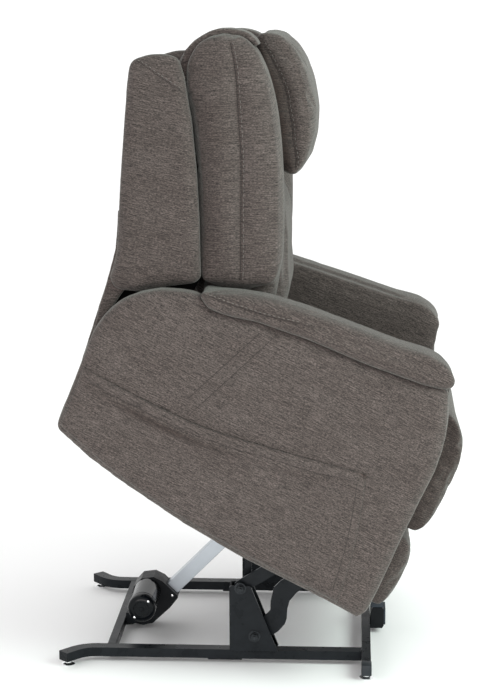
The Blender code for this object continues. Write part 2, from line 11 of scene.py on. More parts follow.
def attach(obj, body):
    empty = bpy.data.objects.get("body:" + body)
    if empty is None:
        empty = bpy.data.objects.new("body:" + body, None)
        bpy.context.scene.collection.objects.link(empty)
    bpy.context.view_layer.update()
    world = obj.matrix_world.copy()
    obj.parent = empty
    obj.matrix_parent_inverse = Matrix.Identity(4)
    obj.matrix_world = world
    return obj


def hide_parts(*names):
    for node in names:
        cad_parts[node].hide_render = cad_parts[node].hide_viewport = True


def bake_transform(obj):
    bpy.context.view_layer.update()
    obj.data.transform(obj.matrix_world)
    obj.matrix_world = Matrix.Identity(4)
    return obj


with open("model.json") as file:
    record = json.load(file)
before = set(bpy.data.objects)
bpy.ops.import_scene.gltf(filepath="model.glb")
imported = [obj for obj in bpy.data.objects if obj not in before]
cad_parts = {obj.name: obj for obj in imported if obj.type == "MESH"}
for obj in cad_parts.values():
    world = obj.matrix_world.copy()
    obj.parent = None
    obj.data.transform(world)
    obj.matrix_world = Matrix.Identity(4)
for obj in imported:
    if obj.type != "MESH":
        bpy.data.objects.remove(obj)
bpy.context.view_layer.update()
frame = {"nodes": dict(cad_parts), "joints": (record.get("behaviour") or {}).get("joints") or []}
NODES = frame["nodes"]
PIVOTS = {joint["name"]: Vector(joint["pos_m"]) for joint in frame["joints"] if "pos_m" in joint}

# The chair's own level frame: u forward, y to the sitter's left, w up, from the arms' bottom front
# corner. The lift has tipped it forward, and the recline pivot ties it to the world.
CHAIR_TILT = math.radians(27.0)
RECLINE_IN_CHAIR = Vector((-0.660, 0.0, 0.360))
TILT = Matrix.Rotation(CHAIR_TILT, 4, "Y")
CHAIR_TO_WORLD = Matrix.Translation(PIVOTS["recline"] - TILT @ RECLINE_IN_CHAIR) @ TILT
WORLD_TO_CHAIR = CHAIR_TO_WORLD.inverted()

COLLECTION = bpy.context.scene.collection


# ---------------------------------------------------------------- camera, light and floor

CAMERA_PLACE = Vector((0.2135, -4.217, 1.535))
CAMERA_YAW = math.radians(3.53)
CAMERA_PITCH = math.radians(11.23)
CAMERA_ROLL = math.radians(0.31)
CAMERA_LENS = 92.1


def make_camera():
    data = bpy.data.cameras.new("photo_camera")
    data.lens = CAMERA_LENS
    data.sensor_width = 36.0
    data.clip_end = 60.0
    camera = bpy.data.objects.new("photo_camera", data)
    COLLECTION.objects.link(camera)
    turn = Matrix.Rotation(CAMERA_YAW, 4, "Z")
    tip = Matrix.Rotation(math.radians(90.0) - CAMERA_PITCH, 4, "X")
    roll = Matrix.Rotation(-CAMERA_ROLL, 4, "Z")
    camera.matrix_world = Matrix.Translation(CAMERA_PLACE) @ turn @ tip @ roll
    bpy.context.scene.camera = camera


def add_area(name, place, target, size, power, colour):
    data = bpy.data.lights.new(name, "AREA")
    data.shape = "RECTANGLE"
    data.size, data.size_y = size
    data.energy = power
    data.color = colour
    light = bpy.data.objects.new(name, data)
    COLLECTION.objects.link(light)
    light.location = place
    light.rotation_euler = (Vector(target) - Vector(place)).to_track_quat("-Z", "Y").to_euler()


def make_stage():
    world = bpy.data.worlds.new("studio")
    world.use_nodes = True
    background = world.node_tree.nodes["Background"]
    background.inputs["Color"].default_value = (1.0, 1.0, 1.0, 1.0)
    background.inputs["Strength"].default_value = 1.15
    bpy.context.scene.world = world
    add_area("overhead", (0.2, 0.2, 3.4), (0.0, 0.0, 0.6), (2.6, 2.2), 5.0, (0.90, 1.0, 0.96))
    add_area("front_key", (2.8, -1.6, 2.6), (0.0, 0.0, 0.8), (1.8, 1.8), 92.0, (0.84, 1.0, 0.92))
    add_area("side_fill", (-0.2, -2.9, 0.30), (0.0, 0.0, 0.45), (1.8, 0.5), 24.0, (1.0, 0.91, 0.90))
    mesh = bpy.data.meshes.new("studio_floor")
    mesh.from_pydata([(-14, -14, 0), (14, -14, 0), (14, 14, 0), (-14, 14, 0)], [], [(0, 1, 2, 3)])
    floor = bpy.data.objects.new("studio_floor", mesh)
    COLLECTION.objects.link(floor)
    material = bpy.data.materials.new("studio_floor")
    material.use_nodes = True
    shader = material.node_tree.nodes["Principled BSDF"]
    shader.inputs["Base Color"].default_value = (0.93, 0.93, 0.93, 1.0)
    shader.inputs["Roughness"].default_value = 0.9
    mesh.materials.append(material)
    bpy.context.scene.view_settings.view_transform = "Standard"


# ---------------------------------------------------------------- materials

class Graph:
    """A short way to write shader nodes: graph.add(type, inputs, settings) links or sets by name."""

    def __init__(self, name):
        self.material = bpy.data.materials.new(name)
        self.material.use_nodes = True
        self.tree = self.material.node_tree
        self.shader = self.tree.nodes["Principled BSDF"]

    def add(self, kind, inputs=(), **settings):
        node = self.tree.nodes.new("ShaderNode" + kind)
        for key, value in settings.items():
            setattr(node, key, value)
        self.feed(node, dict(inputs))
        return node

    def feed(self, node, inputs):
        for key, value in inputs.items():
            if isinstance(value, bpy.types.NodeSocket):
                self.tree.links.new(value, node.inputs[key])
            else:
                node.inputs[key].default_value = value

    def maths(self, operation, a, b):
        return self.add("Math", {0: a, 1: b}, operation=operation).outputs[0]

    def noise(self, place, scale, detail=2.0, roughness=0.5):
        """Noise over a place given in metres; scale is the size of its blotches along each axis."""
        stretch = {"Vector": place, "Scale": tuple(1.0 / size for size in scale)}
        stretched = self.add("Mapping", stretch).outputs[0]
        inputs = {"Vector": stretched, "Scale": 1.0, "Detail": detail, "Roughness": roughness}
        return self.add("TexNoise", inputs).outputs["Fac"]

    def ramp(self, factor, stops):
        node = self.add("ValToRGB", {"Fac": factor})
        band = node.color_ramp
        while len(band.elements) < len(stops):
            band.elements.new(0.5)
        for element, (position, colour) in zip(band.elements, stops):
            element.position = position
            element.color = (*colour, 1.0)
        return node.outputs["Color"]

    def bump(self, height, strength, distance):
        inputs = {"Height": height, "Strength": strength, "Distance": distance}
        return self.add("Bump", inputs).outputs[0]


def make_fabric(name, tone):
    """Woven chenille: slubs along the weft, fine weave, a soft bloom at grazing angles."""
    graph = Graph(name)
    place = graph.add("UVMap", uv_map="weave").outputs[0]
    streak = graph.noise(place, (0.0340, 0.0023, 1.0), 2.0, 0.6)
    slub = graph.noise(place, (0.0110, 0.0034, 1.0), 2.0, 0.6)
    fleck = graph.noise(place, (0.0046, 0.0016, 1.0), 1.0, 0.6)
    mixed = graph.maths("ADD", graph.maths("MULTIPLY", streak, 0.34), graph.maths("MULTIPLY", slub, 0.22))
    mixed = graph.maths("ADD", mixed, graph.maths("MULTIPLY", fleck, 0.44))
    dark, low, high, light = [tuple(level * c for c in tone) for level in (0.16, 0.72, 1.24, 2.4)]
    colour = graph.ramp(mixed, [(0.36, dark), (0.46, low), (0.54, high), (0.66, light)])
    patch = graph.noise(place, (0.120, 0.050, 1.0), 2.0)
    soft = graph.add("MapRange", {"Value": patch, "From Min": 0.35, "From Max": 0.65, "To Max": 0.20})
    # The shade attribute is painted shade laid in by darken(). It is added to random pale and dark
    # patches of the cloth's own tone, and both multiply the colour towards a dark brown.
    shade = graph.add("Attribute", attribute_name="shade").outputs["Fac"]
    dimming = graph.maths("ADD", soft.outputs[0], shade)
    dim = {"Fac": dimming, "Color1": colour, "Color2": (0.34, 0.27, 0.25, 1.0)}
    colour = graph.add("MixRGB", dim, blend_type="MULTIPLY").outputs[0]
    yarn = graph.noise(place, (0.0022, 0.0011, 1.0), 1.0)
    height = graph.maths("ADD", mixed, graph.maths("MULTIPLY", yarn, 0.5))
    graph.feed(graph.shader, {
        "Base Color": colour, "Roughness": 0.92, "Specular IOR Level": 0.25,
        "Sheen Weight": 0.20, "Sheen Roughness": 0.5, "Sheen Tint": (0.85, 0.92, 0.86, 1.0),
        "Normal": graph.bump(height, 0.8, 0.0016)})
    return graph.material


FABRIC_TONE = (0.0710, 0.0583, 0.0537)
FABRIC = make_fabric("chenille", FABRIC_TONE)


def make_enamel(name, tone, roughness, metallic=0.0, shine=0.22, grain=0.0015, bump=0.12):
    """Painted, moulded or plated surface: slight orange peel, and patches of handling wear."""
    graph = Graph(name)
    place = graph.add("TexCoord").outputs["Object"]
    wear = graph.noise(place, (0.030, 0.030, 0.030), 3.0, 0.6)
    peel = graph.noise(place, (grain, grain, grain), 2.0)
    worn, fresh = [tuple(level * c for c in tone) for level in (0.86, 1.14)]
    colour = graph.ramp(wear, [(0.35, worn), (0.65, fresh)])
    low = graph.add("MapRange", {"Value": wear, "From Min": 0.3, "From Max": 0.7,
                                 "To Min": roughness * 0.8, "To Max": roughness * 1.25}).outputs[0]
    graph.feed(graph.shader, {
        "Base Color": colour, "Roughness": low, "Metallic": metallic,
        "Specular IOR Level": shine, "Normal": graph.bump(peel, bump, 0.0004)})
    return graph.material


def make_brushed(name, tone, roughness):
    """Extruded aluminium with fine draw lines along the lift tube's own direction."""
    graph = Graph(name)
    place = graph.add("TexCoord").outputs["Object"]
    turn = (0.0, math.radians(45.0), 0.0)
    turned = graph.add("Mapping", {"Vector": place, "Rotation": turn}).outputs[0]
    lines = graph.noise(turned, (0.200, 0.0009, 0.0009), 3.0, 0.7)
    smear = graph.noise(place, (0.050, 0.050, 0.050), 2.0)
    colour = graph.ramp(smear, [(0.3, tuple(0.9 * c for c in tone)), (0.7, tone)])
    rough = graph.add("MapRange", {"Value": lines, "To Min": roughness * 0.7,
                                   "To Max": roughness * 1.3}).outputs[0]
    graph.feed(graph.shader, {
        "Base Color": colour, "Roughness": rough, "Metallic": 0.85,
        "Normal": graph.bump(lines, 0.15, 0.0003)})
    return graph.material


def make_wood(name, tone):
    """Plywood: bands of grain with darker pores."""
    graph = Graph(name)
    place = graph.add("TexCoord").outputs["Object"]
    bands = graph.noise(place, (0.012, 0.300, 0.012), 4.0, 0.6)
    pores = graph.noise(place, (0.0015, 0.020, 0.0015), 2.0)
    mixed = graph.maths("ADD", graph.maths("MULTIPLY", bands, 0.7), graph.maths("MULTIPLY", pores, 0.3))
    colour = graph.ramp(mixed, [(0.35, tuple(0.55 * c for c in tone)), (0.6, tone)])
    graph.feed(graph.shader, {"Base Color": colour, "Roughness": 0.7,
                              "Normal": graph.bump(mixed, 0.2, 0.0005)})
    return graph.material


def make_lining(name, tone):
    """Thin black bonded cloth over the boards, with a fine random fibre pattern."""
    graph = Graph(name)
    place = graph.add("TexCoord").outputs["Object"]
    fibre = graph.noise(place, (0.0020, 0.0020, 0.0020), 3.0, 0.7)
    thin, thick = [tuple(level * c for c in tone) for level in (0.5, 1.5)]
    colour = graph.ramp(fibre, [(0.35, thin), (0.65, thick)])
    graph.feed(graph.shader, {"Base Color": colour, "Roughness": 0.95, "Specular IOR Level": 0.2,
                              "Normal": graph.bump(fibre, 0.4, 0.0005)})
    return graph.material


BLACK_STEEL = make_enamel("black_powder_coat", (0.0102, 0.0122, 0.0142), 0.30, shine=0.10)
MOTOR_BLACK = make_enamel("motor_enamel", (0.0030, 0.0040, 0.0052), 0.16, shine=0.15, bump=0.04)
BLACK_PLASTIC = make_enamel("black_plastic", (0.0075, 0.0088, 0.0100), 0.40, shine=0.10,
                            grain=0.0008, bump=0.3)
CAP_PLASTIC = make_enamel("grey_cap_plastic", (0.020, 0.024, 0.028), 0.45, grain=0.0008, bump=0.3)
STOP_RUBBER = make_enamel("stop_rubber", (0.030, 0.038, 0.048), 0.6, grain=0.001, bump=0.4)
DARK_ZINC = make_enamel("dark_zinc", (0.028, 0.031, 0.034), 0.30, metallic=0.8, bump=0.05)
CHROME = make_enamel("bright_chrome", (0.86, 0.87, 0.88), 0.24, metallic=1.0, bump=0.03)
ALUMINIUM = make_brushed("drawn_aluminium", (0.40, 0.435, 0.47), 0.34)
PLYWOOD = make_wood("plywood", (0.42, 0.30, 0.18))
LINING = make_lining("black_lining", (0.006, 0.006, 0.006))


def make_plain_thread(name, tone, roughness=0.8):
    graph = Graph(name)
    place = graph.add("TexCoord").outputs["Object"]
    twist = graph.noise(place, (0.0012, 0.0012, 0.0012), 1.0)
    colour = graph.ramp(twist, [(0.3, tuple(0.7 * c for c in tone)), (0.7, tone)])
    graph.feed(graph.shader, {"Base Color": colour, "Roughness": roughness})
    return graph.material


THREAD = make_plain_thread("thread", (0.150, 0.138, 0.126))
# Dark cords for the seam and fold grooves are painted shadow, drawn with the thread shader.
SEAM_SHADOW = make_plain_thread("seam_shadow", (0.030, 0.026, 0.024), 1.0)
FOLD_SHADOW = make_plain_thread("fold_shadow", (0.042, 0.036, 0.033), 1.0)


# ---------------------------------------------------------------- mesh helpers

def link(name, mesh):
    piece = bpy.data.objects.new(name, mesh)
    COLLECTION.objects.link(piece)
    return piece


def from_nodes(name, nodes, reshape=None):
    """The CAD solids of some nodes in one new piece, drawn in the chair frame."""
    shape = bmesh.new()
    for node in nodes:
        part = bmesh.new()
        part.from_mesh(NODES[node].data)
        bmesh.ops.remove_doubles(part, verts=part.verts, dist=0.00001)
        part.transform(WORLD_TO_CHAIR)
        if reshape:
            for vertex in part.verts:
                vertex.co = reshape(node, vertex.co)
        mesh = bpy.data.meshes.new(name)
        part.to_mesh(mesh)
        shape.from_mesh(mesh)
        bpy.data.meshes.remove(mesh)
        part.free()
    mesh = bpy.data.meshes.new(name)
    shape.to_mesh(mesh)
    shape.free()
    return link(name, mesh)


def slab(name, outline, low_y, high_y):
    """A closed prism: an outline in (u, w) between two planes across the chair."""
    count = len(outline)
    points = [(u, y, w) for y in (low_y, high_y) for u, w in outline]
    faces = [tuple(range(count)), tuple(range(2 * count - 1, count - 1, -1))]
    for index in range(count):
        after = (index + 1) % count
        faces.append((index, index + count, after + count, after))
    mesh = bpy.data.meshes.new(name)
    mesh.from_pydata(points, [], faces)
    shape = bmesh.new()
    shape.from_mesh(mesh)
    bmesh.ops.recalc_face_normals(shape, faces=shape.faces)
    shape.to_mesh(mesh)
    shape.free()
    return link(name, mesh)


def bake(piece):
    """Apply a piece's modifiers."""
    graph = bpy.context.evaluated_depsgraph_get()
    mesh = bpy.data.meshes.new_from_object(piece.evaluated_get(graph))
    piece.modifiers.clear()
    piece.data = mesh


def remesh(piece, voxel, smooth_steps):
    cells = piece.modifiers.new("cells", "REMESH")
    cells.mode = "VOXEL"
    cells.voxel_size = voxel
    if smooth_steps:
        relax = piece.modifiers.new("relax", "SMOOTH")
        relax.factor = 0.5
        relax.iterations = smooth_steps
    bake(piece)


def subdivide(piece):
    finer = piece.modifiers.new("finer", "SUBSURF")
    finer.levels = 1
    finer.render_levels = 1
    bake(piece)


def read_points(mesh):
    points = np.zeros(len(mesh.vertices) * 3)
    mesh.vertices.foreach_get("co", points)
    return points.reshape(-1, 3)


def write_points(mesh, points):
    mesh.vertices.foreach_set("co", points.astype(np.float32).ravel())
    mesh.update()


def read_normals(mesh):
    normals = np.zeros(len(mesh.vertices) * 3)
    mesh.vertices.foreach_get("normal", normals)
    return normals.reshape(-1, 3)


def smooth_line(points, step=0.004):
    """Points every step along a smooth curve through the given ones."""
    knots = [Vector(point) for point in points]
    knots = [2 * knots[0] - knots[1]] + knots + [2 * knots[-1] - knots[-2]]
    line = []
    for a, b, c, d in zip(knots, knots[1:], knots[2:], knots[3:]):
        count = max(1, round((c - b).length / step))
        for index in range(count):
            t = index / count
            line.append(0.5 * (2 * b + (c - a) * t + (2 * a - 5 * b + 4 * c - d) * t * t
                               + (3 * b - a - 3 * c + d) * t ** 3))
    line.append(knots[-2])
    return line


def distance_to(points, line):
    """How far each point is from a dense line."""
    line = np.array(line)
    nearest = np.full(len(points), 1e9)
    low, high = line.min(0) - 0.05, line.max(0) + 0.05
    near = np.all((points > low) & (points < high), axis=1)
    some = points[near]
    best = np.full(len(some), 1e9)
    for spot in line:
        best = np.minimum(best, ((some - spot) ** 2).sum(1))
    nearest[near] = np.sqrt(best)
    return nearest


# ---------------------------------------------------------------- upholstery

CLOTH_FRAMES = 20


def inflate(piece, pressure, cap, seams, hold=0.006):
    """Let the cover swell as padded cloth, held along its seams, and never by more than cap."""
    start = read_points(piece.data)
    cloth = piece.modifiers.new("padding", "CLOTH")
    settings = cloth.settings
    settings.quality = 5
    settings.use_pressure = True
    settings.uniform_pressure_force = pressure
    settings.tension_stiffness = 12
    settings.compression_stiffness = 12
    settings.shear_stiffness = 4
    settings.bending_stiffness = 0.4
    settings.effector_weights.gravity = 0
    if seams:
        held = piece.vertex_groups.new(name="held")
        for seam in seams:
            near = np.nonzero(distance_to(start, smooth_line(seam)) < hold)[0]
            held.add([int(index) for index in near], 1.0, "REPLACE")
        settings.vertex_group_mass = "held"
    cloth.point_cache.frame_start = 1
    cloth.point_cache.frame_end = CLOTH_FRAMES
    scene = bpy.context.scene
    for number in range(1, CLOTH_FRAMES + 1):
        scene.frame_set(number)
    bake(piece)
    scene.frame_set(1)
    piece.vertex_groups.clear()
    move = read_points(piece.data) - start
    length = np.linalg.norm(move, axis=1, keepdims=True)
    move *= np.minimum(1.0, cap / np.maximum(length, 1e-9))
    write_points(piece.data, start + move)


def darken(piece, amount):
    """Shading held in the cover for the fabric to read, 0 none to 1 most; the darker one wins."""
    held = np.zeros(len(amount), np.float32)
    layer = piece.data.attributes.get("shade")
    if layer:
        layer.data.foreach_get("value", held)
    else:
        layer = piece.data.attributes.new("shade", "FLOAT", "POINT")
    layer.data.foreach_set("value", np.maximum(held, amount).astype(np.float32))


def behind_seam(piece, seam):
    """How far behind a seam each point lies, at its own height."""
    points = read_points(piece.data)
    line = np.array([tuple(point) for point in smooth_line(seam)])
    line = line[np.argsort(line[:, 2])]
    return np.interp(points[:, 2], line[:, 2], line[:, 0]) - points[:, 0]


def press_seams(piece, seams, depth, width, shade=0.30):
    """Sink the cover along its seams, with painted shade darkest where it sinks most."""
    points = read_points(piece.data)
    normals = read_normals(piece.data)
    sink = np.zeros(len(points))
    for seam in seams:
        near = distance_to(points, smooth_line(seam))
        sink = np.maximum(sink, depth * np.exp(-(near / width) ** 2))
    write_points(piece.data, points - sink[:, None] * normals)
    darken(piece, shade * (sink / depth) ** 2)


def weave(piece, turn=0.0, shift=0.0):
    """Lay the fabric on the piece: a UV map in metres, weft along the chair's level lines."""
    mesh = piece.data
    points = read_points(mesh)
    loops = np.zeros(len(mesh.loops), int)
    mesh.loops.foreach_get("vertex_index", loops)
    normals = np.zeros(len(mesh.polygons) * 3)
    mesh.polygons.foreach_get("normal", normals)
    normals = np.abs(normals.reshape(-1, 3))
    sizes = np.zeros(len(mesh.polygons), int)
    mesh.polygons.foreach_get("loop_total", sizes)
    facing = np.repeat(np.argmax(normals * (1.0, 1.15, 0.8), axis=1), sizes)
    corner = points[loops]
    along = np.where(facing == 0, corner[:, 1], corner[:, 0])
    across = np.where(facing == 2, corner[:, 1], corner[:, 2])
    cos, sin = math.cos(turn), math.sin(turn)
    laid = np.stack([along * cos + across * sin + shift, across * cos - along * sin + shift], axis=1)
    layer = mesh.uv_layers.get("weave") or mesh.uv_layers.new(name="weave")
    layer.data.foreach_set("uv", laid.astype(np.float32).ravel())


def spread(piece, amount):
    """Widen a piece in the plane of its side outline, to make up for what padding draws in."""
    normals = read_normals(piece.data)
    normals[:, 1] = 0.0
    write_points(piece.data, read_points(piece.data) + amount * normals)


def cushion(piece, voxel, smooth_steps, pressure, cap, grow=0.0, seams=(), dip=0.003, half=None):
    """Turn a plain solid into a padded cover, in the chair frame, at most half wide each way."""
    remesh(piece, voxel, smooth_steps)
    spread(piece, grow)
    inflate(piece, pressure, cap, seams)
    subdivide(piece)
    if seams:
        press_seams(piece, seams, dip, 0.006)
    if half:
        points = read_points(piece.data)
        points[:, 1] = np.clip(points[:, 1], -half, half)
        write_points(piece.data, points)
    return piece


def finish_piece(piece, body, material, nodes=()):
    """Move a piece from the chair frame to the world and tie it to its body."""
    piece.data.transform(CHAIR_TO_WORLD)
    piece.data.materials.clear()
    piece.data.materials.append(material)
    piece.data.shade_smooth()
    if nodes:
        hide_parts(*nodes)
    if body:
        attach(piece, body)
    return piece


def mirrored(piece, name, drop=None):
    """The other side's piece; drop lowers its points, for the photo shows that side a little lower."""
    mesh = piece.data.copy()
    mesh.transform(Matrix.Scale(-1.0, 4, (0.0, 1.0, 0.0)))
    mesh.flip_normals()
    if drop:
        points = read_points(mesh)
        points[:, 2] -= drop(points)
        write_points(mesh, points)
    return link(name, mesh)


def ramp_between(values, start, end):
    """0 up to start, 1 from end on, and a smooth rise between them."""
    share = np.clip((values - start) / (end - start), 0.0, 1.0)
    return share * share * (3.0 - 2.0 * share)


WING_DROP = 0.013
ARM_DROP = 0.010
RIM_DROP = 0.011


def wing_drop(points):
    """How far the left wing's points lie below the right one's, growing towards its top."""
    return WING_DROP * ramp_between(points[:, 2], 0.780, 0.900)


def arm_drop(points):
    """How far the left arm's points lie below the right one's, growing upwards and rearwards."""
    upwards = ramp_between(points[:, 2], 0.300, 0.450)
    return ARM_DROP * upwards * ramp_between(-points[:, 0], 0.080, 0.450)


def sweep(shape, line, radius, sides=6):
    """Add a closed round cord along a line to a bmesh."""
    rings = []
    for index, spot in enumerate(line):
        ahead = line[min(index + 1, len(line) - 1)]
        behind = line[max(index - 1, 0)]
        along = (ahead - behind).normalized()
        side = along.orthogonal().normalized()
        up = along.cross(side)
        size = radius * (0.45 if index in (0, len(line) - 1) else 1.0)
        angles = [2 * math.pi * k / sides for k in range(sides)]
        rings.append([shape.verts.new(spot + size * (math.cos(a) * side + math.sin(a) * up))
                      for a in angles])
    for ring, after in zip(rings, rings[1:]):
        turned = min(range(sides), key=lambda k: (after[k].co - ring[0].co).length)
        after[:] = after[turned:] + after[:turned]
        for k in range(sides):
            shape.faces.new((ring[k], ring[(k + 1) % sides], after[(k + 1) % sides], after[k]))
    shape.faces.new(rings[0][::-1])
    shape.faces.new(rings[-1])


def on_surface(tree, spots, sideways, lift):
    """Lay a line on a cover: each spot at its nearest point, moved sideways along the cover."""
    laid = []
    for index, spot in enumerate(spots):
        ahead = spots[min(index + 1, len(spots) - 1)]
        behind = spots[max(index - 1, 0)]
        _, normal, _, _ = tree.find_nearest(spot)
        aside = normal.cross((ahead - behind).normalized()).normalized()
        place, normal, _, _ = tree.find_nearest(spot + sideways * aside)
        laid.append(place + lift * normal)
    return laid


STITCH_PITCH = 0.0105
STITCH_LENGTH = 0.0065
STITCH_STEP = 0.0021


def sew(name, piece, seams, body, offsets=(0.0045,), shadow_cord=0.0011, shadow=None):
    """Painted shadow cords along the seams, and top stitching, on a cover that is still in the chair
    frame.
    """
    tree = BVHTree.FromPolygons([v.co for v in piece.data.vertices],
                                [tuple(p.vertices) for p in piece.data.polygons])
    made = []
    # Each seam's dark cord is a painted shadow line lying in its groove.
    if shadow_cord:
        shape = bmesh.new()
        for seam in seams:
            sweep(shape, on_surface(tree, smooth_line(seam), 0.0, shadow_cord * 0.2), shadow_cord)
        made.append((name + "_seam", shape, shadow or SEAM_SHADOW))
    if offsets:
        shape = bmesh.new()
        for seam in seams:
            for offset in offsets:
                line = on_surface(tree, smooth_line(seam, STITCH_STEP), offset, 0.0004)
                per_pitch = round(STITCH_PITCH / STITCH_STEP)
                per_stitch = round(STITCH_LENGTH / STITCH_STEP)
                for start in range(0, len(line) - per_stitch, per_pitch):
                    sweep(shape, line[start:start + per_stitch + 1], 0.0009, 5)
        made.append((name + "_stitching", shape, THREAD))
    for label, shape, material in made:
        mesh = bpy.data.meshes.new(label)
        shape.to_mesh(mesh)
        shape.free()
        finish_piece(link(label, mesh), body, material)


def across(points, y):
    """(u, w) points as places on a plane across the chair."""
    return [(u, y, w) for u, w in points]


def flipped(seams):
    return [[(u, -y, w) for u, y, w in seam] for seam in seams]


# ---------------------------------------------------------------- arms

ARM_INNER_FACE = 0.287
ARM_COVER_DEPTH = 0.352
ARM_MID = 0.400
FRONT_SET_BACK = 0.008
INNER_FACE_RISE = 0.030
OUTER_FACE = -0.412


def arm_outer_shape(node, co):
    """Bring the panel's inner side in, so that the cover is as deep as the photo shows."""
    side = math.copysign(1.0, co.y)
    depth = abs(co.y)
    if depth < ARM_MID:
        depth += ARM_COVER_DEPTH - 0.390
    return Vector((co.x, side * depth, co.z))


def arm_inner_shape(node, co):
    """Run the inner panel up into the pad, set back at its front, with the pad flush to it."""
    side = math.copysign(1.0, co.y)
    depth = abs(co.y)
    u = co.x
    w = co.z
    if node.startswith("arm_inner"):
        if 0.300 < depth < 0.320:
            depth = 0.365
        if w > 0.465:
            w += INNER_FACE_RISE
        if u > -0.060:
            u -= FRONT_SET_BACK
    elif depth < 0.300:
        depth = ARM_INNER_FACE + 0.002
    return Vector((u, side * depth, w))


DIAGONALS = [across([(-0.484, 0.478), (-0.559, 0.274)], OUTER_FACE),
             across([(-0.450, 0.490), (-0.541, 0.240)], OUTER_FACE)]
PAD_SEAM = [across([(-0.632, 0.500), (-0.583, 0.503), (-0.538, 0.510), (-0.495, 0.517),
                    (-0.452, 0.527), (-0.415, 0.536)], -0.420)]


def make_arms():
    cover = from_nodes("arm_outer_cover_right", ["arm_outer_panel_right"], arm_outer_shape)
    cushion(cover, 0.0065, 5, 2.0, 0.006, 0.0065)
    # Sunk diagonals on the arm side, with strong painted shade along them.
    press_seams(cover, DIAGONALS, 0.0018, 0.0045, 0.42)
    weave(cover)
    make_pocket(cover)
    top = from_nodes("arm_pad_cover_right", ["arm_pad_right", "arm_inner_panel_right"],
                     arm_inner_shape)
    cushion(top, 0.006, 6, 3.0, 0.004, 0.0015, PAD_SEAM, 0.0012)
    weave(top, shift=3.1)
    # Painted shade: the whole pad, its top included, is darkened evenly.
    darken(top, np.full(len(top.data.vertices), 0.12))
    other_cover = mirrored(cover, "arm_outer_cover_left", arm_drop)
    other_top = mirrored(top, "arm_pad_cover_left", arm_drop)
    arms = (("right", cover, top, False), ("left", other_cover, other_top, True))
    for label, panel, pad, flip in arms:
        diagonals = flipped(DIAGONALS) if flip else DIAGONALS
        pad_seam = flipped(PAD_SEAM) if flip else PAD_SEAM
        sew("arm_diagonal_" + label, panel, diagonals, "chair", (), 0.0006, FOLD_SHADOW)
        sew("arm_pad_" + label, pad, pad_seam, "chair", (0.004,), 0.0007)
        finish_piece(panel, "chair", FABRIC, ["arm_outer_panel_" + label])
        finish_piece(pad, "chair", FABRIC, ["arm_pad_" + label, "arm_inner_panel_" + label])


POCKET_TOP = [(-0.794, 0.232), (-0.700, 0.229), (-0.543, 0.231), (-0.466, 0.239), (-0.376, 0.255),
              (-0.286, 0.272), (-0.219, 0.286), (-0.135, 0.304)]
POCKET_BOTTOM = [(-0.783, 0.090), (-0.611, 0.046), (-0.448, 0.026), (-0.298, 0.015), (-0.056, 0.010)]
POCKET_FRONT_BOW = 0.010
POCKET_CLOTH = 0.0018
POCKET_COLUMNS = 150
POCKET_ROWS = 46
POCKET_HEM = 0.0225


def along_line(points, share):
    """The point a share of the way along a smooth line, by its first coordinate."""
    line = np.array([tuple(p) for p in smooth_line(across(points, 0.0), 0.01)])
    u = line[0, 0] + share * (line[-1, 0] - line[0, 0])
    return u, np.interp(u, line[:, 0], line[:, 2])


